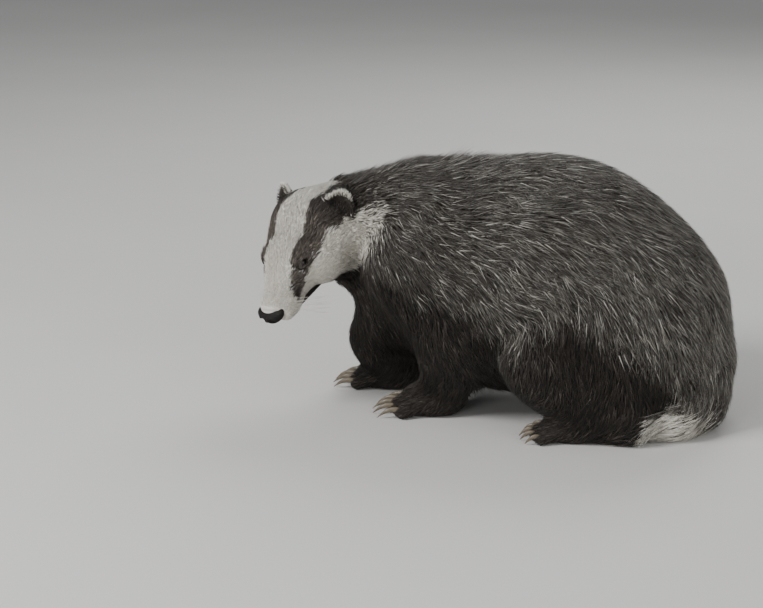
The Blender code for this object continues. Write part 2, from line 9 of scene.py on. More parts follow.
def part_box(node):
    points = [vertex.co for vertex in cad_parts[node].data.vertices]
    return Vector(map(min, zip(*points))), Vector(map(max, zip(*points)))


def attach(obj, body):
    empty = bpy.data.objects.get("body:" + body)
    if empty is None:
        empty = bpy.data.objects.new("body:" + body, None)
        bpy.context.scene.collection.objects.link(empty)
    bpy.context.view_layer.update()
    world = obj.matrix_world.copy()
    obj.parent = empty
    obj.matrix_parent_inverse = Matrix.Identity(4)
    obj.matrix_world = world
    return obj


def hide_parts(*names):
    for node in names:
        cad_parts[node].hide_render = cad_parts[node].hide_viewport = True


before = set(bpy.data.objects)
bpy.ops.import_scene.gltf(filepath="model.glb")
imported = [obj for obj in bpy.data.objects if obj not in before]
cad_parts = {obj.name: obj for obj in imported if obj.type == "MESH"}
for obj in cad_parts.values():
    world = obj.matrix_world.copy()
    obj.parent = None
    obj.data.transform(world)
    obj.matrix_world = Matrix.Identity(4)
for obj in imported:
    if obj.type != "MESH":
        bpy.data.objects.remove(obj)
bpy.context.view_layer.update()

RNG = np.random.default_rng(11)

# Named sizes, the same as the solids', in metres and degrees

HEAD_AT = np.array([-0.2303, -0.0346, 0.1951])
HEAD_ANGLES = (180 + 67.5, 48.3, 3.1)
EYE_AT = np.array([0.0635, 0.0232, 0.0024])
EYE_RADIUS = 0.0048
EAR_AT = np.array([0.0015, 0.0350, 0.0000])
EAR_RADII = np.array([0.0085, 0.0150, 0.0190])
FORE_PAW = (0.056, 0.050, 0.030)
HIND_PAW = (0.052, 0.042, 0.026)
FORE_TOE = 0.0080
HIND_TOE = 0.0072
FORE_CLAW = 0.024
HIND_CLAW = 0.015

# Forms

def turn(yaw, pitch, roll):
    a, b, c = (radians(v) for v in (yaw, pitch, roll))
    rz = np.array([[cos(a), -sin(a), 0], [sin(a), cos(a), 0], [0, 0, 1]])
    ry = np.array([[cos(b), 0, sin(b)], [0, 1, 0], [-sin(b), 0, cos(b)]])
    rx = np.array([[1, 0, 0], [0, cos(c), -sin(c)], [0, sin(c), cos(c)]])
    return rz @ ry @ rx


HEAD_TURN = turn(*HEAD_ANGLES)


class Ball:
    def __init__(self, centre, radii, blend, lie, axes=None, coat=0.0):
        self.centre = np.array(centre, float)
        self.radii = np.array(radii, float)
        self.blend = blend
        self.lie = np.array(lie, float)
        self.axes = np.eye(3) if axes is None else axes
        self.coat = coat

    def dist(self, p):
        q = (p - self.centre) @ self.axes
        k0 = np.linalg.norm(q / self.radii, axis=1)
        k1 = np.linalg.norm(q / self.radii ** 2, axis=1) + 1e-9
        return k0 * (k0 - 1) / k1

    def moved(self, m, o):
        return Ball(m @ self.centre + o, self.radii, self.blend, m @ self.lie, m @ self.axes, self.coat)


class Limb:
    def __init__(self, start, end, r1, r2, blend, lie=None, coat=0.0):
        self.start = np.array(start, float)
        self.end = np.array(end, float)
        self.r1 = r1
        self.r2 = r2
        self.blend = blend
        d = self.end - self.start
        self.lie = d / np.linalg.norm(d) if lie is None else np.array(lie, float)
        self.coat = coat

    def dist(self, p):
        d = self.end - self.start
        t = np.clip((p - self.start) @ d / (d @ d), 0, 1)
        away = np.linalg.norm(p - self.start - t[:, None] * d, axis=1)
        return away - (self.r1 + t * (self.r2 - self.r1))

    def moved(self, m, o):
        start = m @ self.start + o
        end = m @ self.end + o
        return Limb(start, end, self.r1, self.r2, self.blend, m @ self.lie, self.coat)


def smooth_min(a, b, k):
    h = np.clip(0.5 + 0.5 * (a - b) / k, 0, 1)
    return a + (b - a) * h - k * h * (1 - h)


def field(masses, p):
    d = masses[0].dist(p)
    for m in masses[1:]:
        d = smooth_min(d, m.dist(p), m.blend)
    return d


def slope(masses, p, e=4e-4):
    """Gradient of the field by four samples round each point."""
    corners = np.array([[1, -1, -1], [-1, -1, 1], [-1, 1, -1], [1, 1, 1]], float)
    return sum(c * field(masses, p + e * c)[:, None] for c in corners) / (4 * e)


def shares(masses, p):
    """How much each mass has to say at each point, by nearness."""
    d = np.stack([m.dist(p) for m in masses], 1)
    w = np.exp(-(d - d.min(1, keepdims=True)) / 0.012)
    return w / w.sum(1, keepdims=True)


def coat_depth(masses, p):
    return shares(masses, p) @ np.array([m.coat for m in masses])


def lie_of(masses, p, n):
    """The way the hair points along the surface, for points with outward normals n."""
    v = shares(masses, p) @ np.array([m.lie / np.linalg.norm(m.lie) for m in masses])
    v = v - n * (v * n).sum(1, keepdims=True)
    return v / (np.linalg.norm(v, axis=1, keepdims=True) + 1e-9)


def outward(masses, p):
    g = slope(masses, p)
    return g / (np.linalg.norm(g, axis=1, keepdims=True) + 1e-9)


def both(make):
    return [make(1), make(-1)]


def in_head(masses):
    return [m.moved(HEAD_TURN, HEAD_AT) for m in masses]


def head_masses():
    back = (-1, 0, -0.05)
    m = [Ball((0.011, 0, -0.013), (0.037, 0.047, 0.036), 0.012, back)]
    m.append(Ball((0.046, 0, -0.010), (0.046, 0.034, 0.026), 0.012, back))
    cheek = (0.046, 0.025, 0.029)
    jowl = (0.029, 0.026, 0.030)
    m += both(lambda s: Ball((0.022, s * 0.026, -0.024), cheek, 0.012, (-1, 0.25 * s, -0.1)))
    m += both(lambda s: Ball((-0.001, s * 0.034, -0.039), jowl, 0.015, (-1, 0.35 * s, -0.2)))
    m.append(Limb((0.052, 0, -0.014), (0.101, 0, -0.0165), 0.0265, 0.0175, 0.008, back))
    m += both(lambda s: Ball((0.097, s * 0.0100, -0.0215), (0.019, 0.0115, 0.0110), 0.005, back))
    m += both(lambda s: Ball((0.055, s * 0.0160, 0.0060), (0.015, 0.0095, 0.0080), 0.008, back))
    m.append(Limb((0.012, 0, -0.046), (0.088, 0, -0.0335), 0.024, 0.0100, 0.008, back))
    m.append(Ball((0.1115, 0, -0.0125), (0.0105, 0.0145, 0.0110), 0.003, back))
    return in_head(m)


def neck_masses():
    nape = (-0.204, -0.012, 0.180)
    m = [Limb(nape, (-0.142, 0, 0.171), 0.043, 0.068, 0.020, (0.9, 0, -0.3), 0.008)]
    throat = (-0.198, -0.012, 0.149)
    m.append(Limb(throat, (-0.150, 0, 0.141), 0.038, 0.048, 0.020, (0.7, 0, -0.65), 0.006))
    m.append(Limb((-0.138, 0.002, 0.104), (-0.170, 0.012, 0.055), 0.054, 0.036, 0.030, (0.2, 0, -1), 0.006))
    return m


def trunk_masses():
    m = [Ball((-0.096, 0, 0.1536), (0.088, 0.100, 0.0871), 0.025, (0.9, 0, -0.4), coat=0.010)]
    m.append(Ball((-0.008, 0, 0.1373), (0.145, 0.114, 0.113), 0.025, (0.93, 0, -0.35), coat=0.010))
    m.append(Ball((0.0785, 0, 0.108), (0.0945, 0.118, 0.0826), 0.030, (0.5, 0, -0.85), coat=0.010))
    m.append(Ball((0.115, 0, 0.0535), (0.067, 0.090, 0.054), 0.030, (0.4, 0, -0.9), coat=0.010))
    m.append(Ball((-0.040, 0, 0.085), (0.110, 0.088, 0.064), 0.025, (0.5, 0, -0.85), coat=0.010))
    return m
def paw_masses(at, heading, size, toe):
    """A flat-soled foot of five toes, its heading a turn about the vertical."""
    long, wide, high = size
    palm = (long * 0.55, wide * 0.48, high * 0.62)
    m = [Ball((long * 0.40, 0, high * 0.42), palm, 0.010, (1, 0, -0.2))]
    for a in (-1, -0.5, 0, 0.5, 1):
        root = (long * 0.60, a * wide * 0.34, high * 0.40)
        tip = (long * (1.0 - 0.14 * a * a), a * wide * 0.50, toe * 0.75)
        m.append(Limb(root, tip, toe * 1.05, toe * 0.85, 0.004, (1, 0, -0.2)))
    return [x.moved(turn(heading, 0, 0), np.array(at, float)) for x in m]


def fore_at(s):
    """Place and heading of a fore paw: the far one stands a little ahead."""
    if s < 0:
        return (-0.084, -0.048, 0), 188
    return (-0.146, 0.022, 0), 176


def hind_at(s):
    return (0.058, s * 0.096, 0), 180 - s * 6


def fore_leg_masses(s):
    shoulder = (-0.120, s * 0.060, 0.150)
    elbow = (-0.072, s * 0.072, 0.096)
    x, y, z = fore_at(s)[0]
    wrist = (x - 0.008, y + s * 0.002, 0.028)
    m = [Limb(shoulder, elbow, 0.045, 0.038, 0.025, (0.2, 0, -1), 0.005)]
    m.append(Limb((-0.072, s * 0.070, 0.094), wrist, 0.037, 0.025, 0.02, (-0.3, 0, -1)))
    return m


def hind_leg_masses(s):
    knee = (0.012, s * 0.100, 0.070)
    heel = (0.090, s * 0.092, 0.019)
    m = [Ball((0.052, s * 0.084, 0.076), (0.070, 0.042, 0.068), 0.025, (0.1, 0, -1), coat=0.008)]
    m.append(Limb(knee, (0.086, s * 0.090, 0.032), 0.036, 0.026, 0.02, (-0.2, 0, -1), 0.005))
    m.append(Limb(heel, (0.045, s * 0.096, 0.016), 0.021, 0.018, 0.015, (-1, 0, -0.3)))
    return m


def fore_paw_masses(s):
    at, heading = fore_at(s)
    return paw_masses(at, heading, FORE_PAW, FORE_TOE)


def hind_paw_masses(s):
    at, heading = hind_at(s)
    return paw_masses(at, heading, HIND_PAW, HIND_TOE)


def tail_masses():
    run = [(0.134, 0.000, 0.044), (0.150, -0.034, 0.027), (0.130, -0.066, 0.020), (0.098, -0.084, 0.016)]
    thick = [0.034, 0.027, 0.022, 0.013]
    return [Limb(run[i], run[i + 1], thick[i], thick[i + 1], 0.015, coat=0.006) for i in range(3)]


def all_masses():
    m = trunk_masses() + neck_masses() + tail_masses()
    for s in (-1, 1):
        m += fore_leg_masses(s) + fore_paw_masses(s) + hind_leg_masses(s) + hind_paw_masses(s)
    return m + head_masses()

# Meshes

def pick(objects):
    bpy.ops.object.select_all(action="DESELECT")
    for o in objects:
        o.select_set(True)
    bpy.context.view_layer.objects.active = objects[0]


def run_modifier(obj, modifier):
    pick([obj])
    bpy.ops.object.modifier_apply(modifier=modifier.name)


def lump(mass):
    """The primitives of one mass, as one object."""
    if isinstance(mass, Ball):
        bpy.ops.mesh.primitive_uv_sphere_add(segments=32, ring_count=20, radius=1.0)
        obj = bpy.context.object
        place(obj, (mass.axes * mass.radii).T, mass.centre)
        return obj
    made = []
    for at, r in ((mass.start, mass.r1), (mass.end, mass.r2)):
        bpy.ops.mesh.primitive_uv_sphere_add(segments=24, ring_count=16, radius=r, location=at)
        bpy.ops.object.transform_apply(location=True, rotation=True, scale=True)
        made.append(bpy.context.object)
    d = mass.end - mass.start
    length = np.linalg.norm(d)
    bpy.ops.mesh.primitive_cone_add(vertices=24, radius1=mass.r1, radius2=mass.r2, depth=length)
    cone = bpy.context.object
    axis = d / length
    side = np.cross(axis, (0, 0, 1) if abs(axis[2]) < 0.9 else (1, 0, 0))
    side /= np.linalg.norm(side)
    place(cone, np.array([side, np.cross(axis, side), axis]), (mass.start + mass.end) / 2)
    made.append(cone)
    pick(made)
    bpy.ops.object.join()
    return bpy.context.object


def place(obj, rows, origin):
    """Writes a turn and a place into the mesh: rows are the images of the three axes."""
    put_points(obj, get_points(obj) @ rows + origin)


def get_points(obj):
    co = np.empty(len(obj.data.vertices) * 3)
    obj.data.vertices.foreach_get("co", co)
    return co.reshape(-1, 3)


def put_points(obj, points):
    obj.data.vertices.foreach_set("co", np.asarray(points, float).ravel())
    obj.data.update()


def get_edges(obj):
    e = np.empty(len(obj.data.edges) * 2, dtype=np.int32)
    obj.data.edges.foreach_get("vertices", e)
    return e.reshape(-1, 2)


def settle(points, edges, masses, level, rounds=7, bare=False):
    """Draws the points on to the level of the field, under the coat if bare, and evens them out along it."""
    count = np.bincount(edges.ravel(), minlength=len(points))[:, None]
    for k in range(rounds):
        for again in range(2 if k < rounds - 1 else 4):
            g = slope(masses, points)
            size = np.linalg.norm(g, axis=1, keepdims=True) + 1e-6
            goal = level - coat_depth(masses, points) if bare else level
            step = (field(masses, points) - goal)[:, None] / size
            points = points - g / size * np.clip(step, -0.006, 0.006)
        if k < rounds - 1:
            mean = np.zeros_like(points)
            np.add.at(mean, edges[:, 0], points[edges[:, 1]])
            np.add.at(mean, edges[:, 1], points[edges[:, 0]])
            away = mean / count - points
            n = g / size
            points = points + 0.6 * (away - n * (away * n).sum(1, keepdims=True))
    return points


# Numbers of the picture

LEVEL_HEAD = 0.0012
SKIN_VOXEL = 0.0042
WHITE = np.array([0.84, 0.81, 0.74])
BUFF = np.array([0.40, 0.36, 0.29])
GREY = np.array([0.27, 0.25, 0.225])
DARK = np.array([0.027, 0.023, 0.020])
TUFT_BODY = 78000
TUFT_NECK = 22000
TUFT_HEAD = 30000
TUFT_PAW = 7000
TUFT_TAIL = 6000

MASSES = all_masses()
HEAD = head_masses()
LOW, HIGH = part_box("eye_left")
SHIFT = (np.array(LOW) + np.array(HIGH)) / 2 - (HEAD_TURN @ EYE_AT + HEAD_AT)


def local(p):
    """A point of the head's own frame in the model's frame."""
    return HEAD_TURN @ np.array(p, float) + HEAD_AT


def to_head(p):
    return (p - HEAD_AT) @ HEAD_TURN


def on_skin(masses, p, level=0.0):
    p = np.atleast_2d(np.array(p, float))
    for k in range(6):
        g = slope(masses, p)
        p = p - g * ((field(masses, p) - level) / (g * g).sum(1))[:, None]
    return p


def unit(v):
    return v / (np.linalg.norm(v, axis=-1, keepdims=True) + 1e-12)


def step(low, high, x):
    t = np.clip((x - low) / (high - low), 0, 1)
    return t * t * (3 - 2 * t)


def waves(p, size, seed, count=14):
    """Smooth noise of mean 0 and spread about 1, as a sum of sines."""
    rng = np.random.default_rng(seed)
    k = unit(rng.normal(size=(count, 3))) * rng.uniform(0.6, 1.7, (count, 1)) * 2 * pi / size
    return np.sin(p @ k.T + rng.uniform(0, 2 * pi, count)).sum(1) / np.sqrt(count / 2)


def to_line(p, path):
    """Distance from each point to a line of straight lengths."""
    best = np.full(len(p), 1e9)
    for a, b in zip(path[:-1], path[1:]):
        d = b - a
        t = np.clip((p - a) @ d / (d @ d), 0, 1)
        best = np.minimum(best, np.linalg.norm(p - a - t[:, None] * d, axis=1))
    return best


# Markings, the same for skin and coat

def head_marks(p):
    """How white and how dark the head and the side of the neck are, from 0 to 1."""
    q = to_head(p) * 1000
    x, y, z = q.T
    wobble = waves(p, 0.014, 3) * 0.8
    side = np.abs(y)
    angle = np.degrees(np.arctan2(side, z + 14.0))
    bulge = np.exp(-((x - 28.0) / 15.0) ** 2)
    blaze = np.interp(x, [-62, -45, -20, 0, 35, 57, 78, 91, 99], [6, 9, 12, 14, 14, 16.5, 16.5, 15, 24])
    outer = np.interp(x, [-30, -10, 4, 25, 46, 58, 76, 84, 90, 95], [125, 88, 74, 67, 67, 70, 78, 97, 108, 112])
    aside = np.abs(y + 3.5 * bulge) - blaze - 4.5 * bulge
    stripe = step(-1.5, 1.5, aside + wobble) * step(-2.5, 2.5, outer - angle + wobble * 2)
    stripe *= step(97, 93, x + wobble)
    rel = np.stack([x, side, z], 1) - EYE_AT * 1000
    ring = np.exp(-((np.linalg.norm(rel * (0.8, 1, 1), axis=1) - 8.5) / 1.6) ** 2)
    stripe *= 1 - 0.28 * ring * step(1.0, -3.0, rel[:, 2])
    low = np.interp(x, [-20, 20, 59, 80, 95, 125], [128, 124, 122, 142, 150, 152])
    throat = step(-4, 4, angle - low + wobble * 3)
    return stripe, throat


def neck_band(p):
    """The pale band that runs from the cheek back along the side of the neck."""
    q = to_head(p) * 1000
    near = to_line(q, np.array([[58, 33, -18], [40, 52, -14], [15, 72, -4], [10, 78, -4]], float))
    far = to_line(q, np.array([[58, -33, -18], [25, -46, -22], [-12, -52, -18], [-45, -52, -14]], float))
    wide_near = np.interp(q[:, 1], [30, 50, 75, 95], [13, 17, 22, 17])
    wobble = waves(p, 0.020, 5) * 2.5
    soft = 5 + 6 * step(45, 80, q[:, 1])
    fringe = 0.6 * np.exp(-(((q - (22, 88, -12)) / (17, 15, 20)) ** 2).sum(1))
    close = np.maximum(step(1, -1, (near - wide_near + wobble) / soft), fringe)
    return np.maximum(close, step(5, -5, far - 17 + wobble))


def marks(p):
    """Shares of white, dark and grizzled coat at each point."""
    q = to_head(p)
    on_head = step(0.012, -0.004, field(HEAD, p) - 0.002) * step(-0.055, -0.030, q[:, 0])
    stripe, throat = head_marks(p)
    band = neck_band(p)
    white_head = (1 - stripe) * (1 - throat)
    dark_head = np.maximum(stripe, throat)
    # the body
    x, y, z = p.T
    edge_x = [-0.20, -0.165, -0.145, -0.12, -0.094, -0.065, -0.046, -0.030, -0.016, -0.004,
              0.012, 0.043, 0.068, 0.089, 0.119, 0.147, 0.170]
    edge_z = [0.170, 0.150, 0.152, 0.138, 0.131, 0.122, 0.104, 0.080, 0.078, 0.096,
              0.112, 0.121, 0.108, 0.098, 0.072, 0.034, 0.008]
    edge = np.interp(x, edge_x, edge_z) + 0.004 * waves(p, 0.035, 7)
    under = step(0.014, -0.010, z - edge)
    chest = step(-0.150, -0.175, x) * step(0.175, 0.150, z)
    dark_body = np.maximum(under, chest)
    brush = step(0.010, -0.004, field(tail_masses(), p) - 0.006) * step(0.176, 0.160, x)
    tail = brush * step(0.007, -0.007, z - 0.023 + 0.35 * (y + 0.066) + 0.003 * waves(p, 0.02, 9))
    body_white = np.maximum(band * (1 - on_head), 0.86 * tail)
    dark_body = dark_body * (1 - np.maximum(body_white, brush))
    white = on_head * white_head + (1 - on_head) * body_white
    dark = on_head * dark_head + (1 - on_head) * dark_body
    nape = (1 - on_head) * step(0.030, 0.0, field(HEAD, p)) * step(0.15, 0.2, z) * (1 - band)
    dark = np.maximum(dark, nape * 0.6 * (1 - white))
    return white, dark, tail


def skin_colour(p):
    white, dark, tail = marks(p)
    grey = np.clip(1 - white - dark, 0, 1)[:, None]
    return white[:, None] * WHITE * 0.8 + dark[:, None] * DARK + grey * GREY * 0.6


# Skin

def form(name, shape, voxel):
    """A closed mesh round the masses of shape."""
    parts = [lump(m) for m in shape]
    pick(parts)
    if len(parts) > 1:
        bpy.ops.object.join()
    obj = bpy.context.object
    obj.name = name
    remesh = obj.modifiers.new("Remesh", "REMESH")
    remesh.mode = "VOXEL"
    remesh.voxel_size = voxel
    run_modifier(obj, remesh)
    return obj


def refine(obj, chosen, cuts):
    """Subdivides the chosen faces in edit mode."""
    pick([obj])
    bpy.ops.object.mode_set(mode="EDIT")
    bpy.ops.mesh.select_mode(type="FACE")
    bpy.ops.mesh.select_all(action="DESELECT")
    bpy.ops.object.mode_set(mode="OBJECT")
    obj.data.polygons.foreach_set("select", chosen)
    bpy.ops.object.mode_set(mode="EDIT")
    bpy.ops.mesh.subdivide(number_cuts=cuts)
    bpy.ops.mesh.select_all(action="DESELECT")
    bpy.ops.object.mode_set(mode="OBJECT")


def face_centres(obj):
    c = np.empty(len(obj.data.polygons) * 3)
    obj.data.polygons.foreach_get("center", c)
    return c.reshape(-1, 3)


def mouth_path():
    t = np.linspace(-1, 1, 25)
    x = 0.1060 - 0.034 * t ** 2
    y = 0.0240 * np.sin(t * pi / 2)
    z = -0.0300 - 0.0030 * t ** 2
    return on_skin(MASSES, [local(p) for p in np.stack([x, y, z], 1)], -LEVEL_HEAD)


def detail(p, n):
    """Inward and outward shifts of the head's skin: mouth, lips, sockets, and the seat of the nose."""
    q = to_head(p)
    move = np.zeros(len(p))
    near = np.linalg.norm(q - (0.06, 0, 0), axis=1) < 0.09
    d = to_line(p[near], mouth_path()) * 1000
    move[near] += -2.0 * np.exp(-(d / 0.9) ** 2) + 0.7 * np.exp(-((d - 2.6) / 1.5) ** 2)
    for s in (1, -1):
        at = EYE_AT * (1, s, 1)
        d = np.linalg.norm((q - at) * (0.8, 1, 1.15), axis=1) * 1000
        move += -1.6 * np.exp(-(d / 8.0) ** 2)
    d = np.linalg.norm((q - (0.1165, 0, -0.0150)) / (0.0105, 0.0165, 0.0110), axis=1)
    move += -1.5 * step(1.08, 0.92, d)
    groove = np.abs(q[:, 1]) * 1000
    low = step(-0.0130, -0.0180, q[:, 2]) * step(-0.0300, -0.0260, q[:, 2]) * step(0.100, 0.106, q[:, 0])
    move += -1.0 * np.exp(-(groove / 0.8) ** 2) * low
    return p + n * move[:, None] * 0.001


def sweep(name, path, across, thick, wide, sides):
    """A closed tapered tube along a path; across gives its wide direction at each station."""
    bpy.ops.mesh.primitive_cylinder_add(vertices=sides, radius=1.0, depth=1.0, end_fill_type="NGON")
    obj = bpy.context.object
    obj.name = name
    count = len(path)
    bpy.ops.object.mode_set(mode="EDIT")
    bpy.ops.mesh.select_all(action="DESELECT")
    bpy.ops.object.mode_set(mode="OBJECT")
    for f in obj.data.polygons:
        f.select = f.normal.z > 0.9
    bpy.ops.object.mode_set(mode="EDIT")
    for k in range(count - 2):
        bpy.ops.mesh.extrude_region_move(TRANSFORM_OT_translate={"value": (0, 0, 1)})
    bpy.ops.mesh.select_all(action="DESELECT")
    bpy.ops.object.mode_set(mode="OBJECT")
    p = get_points(obj)
    row = np.clip(np.round(p[:, 2] + 0.5).astype(int), 0, count - 1)
    path = np.array(path, float)
    d = unit(np.gradient(path, axis=0))
    u = unit(across - d * (across * d).sum(1, keepdims=True))
    v = np.cross(d, u)
    put_points(obj, path[row] + u[row] * (p[:, 0] * wide[row])[:, None] + v[row] * (p[:, 1] * thick[row])[:, None])
    return obj


def ball(name, centre, radii, axes, segments=48, rings=32):
    bpy.ops.mesh.primitive_uv_sphere_add(segments=segments, ring_count=rings, radius=1.0)
    obj = bpy.context.object
    obj.name = name
    place(obj, (axes * radii).T, centre)
    return obj


def ear_axes(s):
    """Columns: the way the cup faces, the ear's width, and its height."""
    face = unit(np.array([0.58, 0.42 * s, 0.70]))
    high = np.array([-0.80, 0.16 * s, 0.56])
    high = unit(high - face * (high @ face))
    return HEAD_TURN @ np.stack([face, np.cross(high, face), high], 1)


def make_ear(s):
    """A cupped shell: the front of a ball pressed in to a bowl, with a soft rim."""
    bpy.ops.mesh.primitive_uv_sphere_add(segments=56, ring_count=36, radius=1.0)
    ear = bpy.context.object
    ear.name = "ear"
    p = get_points(ear)
    front = step(-0.05, 0.75, p[:, 0])
    away = np.sqrt(p[:, 1] ** 2 + (p[:, 2] + 0.15) ** 2)
    bowl = -0.42 * (1 - np.clip(away, 0, 1) ** 2.2) + 0.05
    p[:, 0] = p[:, 0] * (1 - front) + bowl * front
    p[:, 1] *= 1 - 0.10 * step(0.2, 1, p[:, 2])
    put_points(ear, p * 1.0)
    place(ear, (ear_axes(s) * (EAR_RADII - 0.0010)).T, local(EAR_AT * (1, s, 1)))
    return ear


def make_lids(s):
    """The two lids of one eye, an almond of two soft folds."""
    at = local(EYE_AT * (1, s, 1))
    n = outward(MASSES, at[None])[0]
    ahead = unit(HEAD_TURN[:, 0] - n * (HEAD_TURN[:, 0] @ n))
    up = np.cross(n, ahead) * s
    parts = []
    for half in (0, 1):
        a = np.linspace(-0.10, 1.10, 16) * pi + half * pi
        ring = np.outer(np.cos(a) * 0.0061, ahead) + np.outer(np.sin(a) * 0.0037, up)
        path = at + ring + n * 0.0020
        thick = 0.0008 + 0.0006 * np.sin(np.clip((a - half * pi) / pi, 0, 1) * pi)
        parts.append(sweep("lid", path, np.repeat(n[None], 16, 0), thick, thick * 1.5, 8))
    return parts


def boolean(obj, tool, operation):
    cut = obj.modifiers.new("Cut", "BOOLEAN")
    cut.operation = operation
    cut.solver = "MANIFOLD"
    cut.object = tool
    run_modifier(obj, cut)
    bpy.data.objects.remove(tool, do_unlink=True)


def smooth_shade(obj):
    pick([obj])
    bpy.ops.object.shade_smooth()


def make_skin():
    skin = form("skin", MASSES, SKIN_VOXEL)

    def level(p):
        face = step(0.02, 0.0, field(HEAD, p))
        return -coat_depth(MASSES, p) - LEVEL_HEAD * face - 0.0006

    def drape(rounds):
        p = get_points(skin)
        e = get_edges(skin)
        count = np.maximum(np.bincount(e.ravel(), minlength=len(p)), 1)[:, None]
        for k in range(rounds):
            for again in range(2):
                g = slope(MASSES, p)
                size = np.linalg.norm(g, axis=1, keepdims=True) + 1e-6
                p = p - g / size * np.clip((field(MASSES, p) - level(p))[:, None] / size, -0.006, 0.006)
            if k < rounds - 1:
                mean = np.zeros_like(p)
                np.add.at(mean, e[:, 0], p[e[:, 1]])
                np.add.at(mean, e[:, 1], p[e[:, 0]])
                away = mean / count - p
                n = g / size
                p = p + 0.6 * (away - n * (away * n).sum(1, keepdims=True))
        put_points(skin, p)

    drape(5)
    c = face_centres(skin)
    q = to_head(c)
    on_face = (field(HEAD, c) < 0.004) & (q[:, 0] > -0.02)
    on_paw = (c[:, 2] < 0.030) & (c[:, 0] < 0.08)
    refine(skin, on_face | on_paw, 1)
    c = face_centres(skin)
    q = to_head(c)
    mouth = to_line(c, mouth_path()) < 0.008
    eyes = np.minimum(*[np.linalg.norm(q - EYE_AT * (1, s, 1), axis=1) for s in (1, -1)]) < 0.016
    nose = np.linalg.norm(q - (0.110, 0, -0.014), axis=1) < 0.024
    refine(skin, mouth | eyes | nose, 2)
    drape(3)
    p = get_points(skin)
    p = detail(p, outward(MASSES, p))
    p[:, 2] = np.maximum(p[:, 2], 0.0004)
    put_points(skin, p)
    for s in (1, -1):
        boolean(skin, make_ear(s), "UNION")
        for lid in make_lids(s):
            boolean(skin, lid, "UNION")
        at = local(EYE_AT * (1, s, 1))
        boolean(skin, ball("socket", at, np.full(3, EYE_RADIUS + 0.0002), HEAD_TURN, 32, 20), "DIFFERENCE")
    run_modifier(skin, skin.modifiers.new("Triangles", "TRIANGULATE"))
    smooth_shade(skin)
    pick([skin])
    bpy.ops.object.mode_set(mode="EDIT")
    bpy.ops.mesh.select_all(action="SELECT")
    bpy.ops.uv.smart_project(angle_limit=radians(66), island_margin=0.002)
    bpy.ops.object.mode_set(mode="OBJECT")
    skin.data.uv_layers[0].name = "OFBake"
    return skin


def paint_points(obj, colours):
    layer = obj.data.color_attributes.new("coat", "FLOAT_COLOR", "POINT")
    rgba = np.ones((len(colours), 4), np.float32)
    rgba[:, :3] = colours
    layer.data.foreach_set("color", rgba.ravel())


# Tufts

def triangles_of(obj):
    obj.data.calc_loop_triangles()
    count = len(obj.data.loop_triangles)
    tri = np.empty(count * 3, np.int32)
    obj.data.loop_triangles.foreach_get("vertices", tri)
    loops = np.empty(count * 3, np.int32)
    obj.data.loop_triangles.foreach_get("loops", loops)
    uv = np.empty(len(obj.data.loops) * 2, np.float32)
    obj.data.uv_layers["OFBake"].data.foreach_get("uv", uv)
    return tri.reshape(-1, 3), uv.reshape(-1, 2)[loops.reshape(-1, 3)]


def scatter(weight, count, rng):
    """Roots over the skin's triangles, by area times a weight: points, normals and places on the unwrap."""
    chance = AREA * weight
    chosen = rng.choice(len(chance), count, p=chance / chance.sum())
    a, b = rng.random((2, count))
    over = a + b > 1
    a = np.where(over, 1 - a, a)
    b = np.where(over, 1 - b, b)
    mix = np.stack([1 - a - b, a, b], 1)[:, :, None]
    points = (CORNERS[chosen] * mix).sum(1)
    return points, NORMAL[chosen], (PLACE[chosen] * mix).sum(1)


def march(masses, root, length, rise, lift, bend, sink=0.0010):
    """Three stations of each tuft, marched along the lie of the coat."""
    n = outward(masses, root)
    base = field(masses, root)
    stations = [root - n * sink]
    sides = []
    ups = []
    p = root
    for k in range(3):
        way = lie_of(masses, p, n)
        side = np.cross(n, way)
        turned = way * np.cos(bend[:, k:k + 1]) + side * np.sin(bend[:, k:k + 1])
        sides.append(np.cross(n, turned))
        ups.append(n)
        if k == 2:
            break
        p = p + turned * (length * 0.5)[:, None]
        n = outward(masses, p)
        goal = base + rise * (0.78, 1.0)[k] + lift * (0.25, 1.0)[k]
        p = p - n * (field(masses, p) - goal)[:, None]
        p[:, 2] = np.maximum(p[:, 2], 0.0012)
        stations.append(p)
    return np.stack(stations, 1), np.stack(sides, 1), np.stack(ups, 1)


def straight(root, n, way, length, lean, sink=0.0008):
    """Three stations of short tufts that lean along a direction."""
    way = unit(way - n * (way * n).sum(1, keepdims=True))
    t = np.array([0, 0.5, 1.0])
    up = np.sin(lean)[:, None] * np.array([0, 1.2, 1.0]) * t
    run = np.cos(lean)[:, None] * t
    stations = root[:, None] - n[:, None] * sink * np.array([1, 0, 0])[None, :, None]
    stations = stations + length[:, None, None] * (way[:, None] * run[..., None] + n[:, None] * up[..., None])
    side = np.cross(n, way)
    return stations, np.repeat(side[:, None], 3, 1), np.repeat(n[:, None], 3, 1)


def clump(stations, roots, spacing, share, rng):
    """Draws the outer part of each tuft towards that of the nearest leader."""
    count = max(8, int(len(roots) / spacing))
    leaders = rng.choice(len(roots), count, replace=False)
    tree = KDTree(count)
    for k, i in enumerate(leaders):
        tree.insert(roots[i], k)
    tree.balance()
    near = np.array([leaders[tree.find(r)[1]] for r in roots])
    offset = stations[near] - roots[near][:, None]
    goal = roots[:, None] * 0.35 + roots[near][:, None] * 0.65 + offset
    pull = share[:, None, None] * np.array([0, 0.4, 1.0])[None, :, None]
    return stations + (goal - stations) * pull


PROFILE = np.array([0.80, 1.0])
RING = np.radians([90, 210, 330])
FACES = [(0, 2, 1)]
for k in range(3):
    FACES.append((k, (k + 1) % 3, 3 + (k + 1) % 3, 3 + k))
for k in range(3):
    FACES.append((3 + k, 3 + (k + 1) % 3, 6))


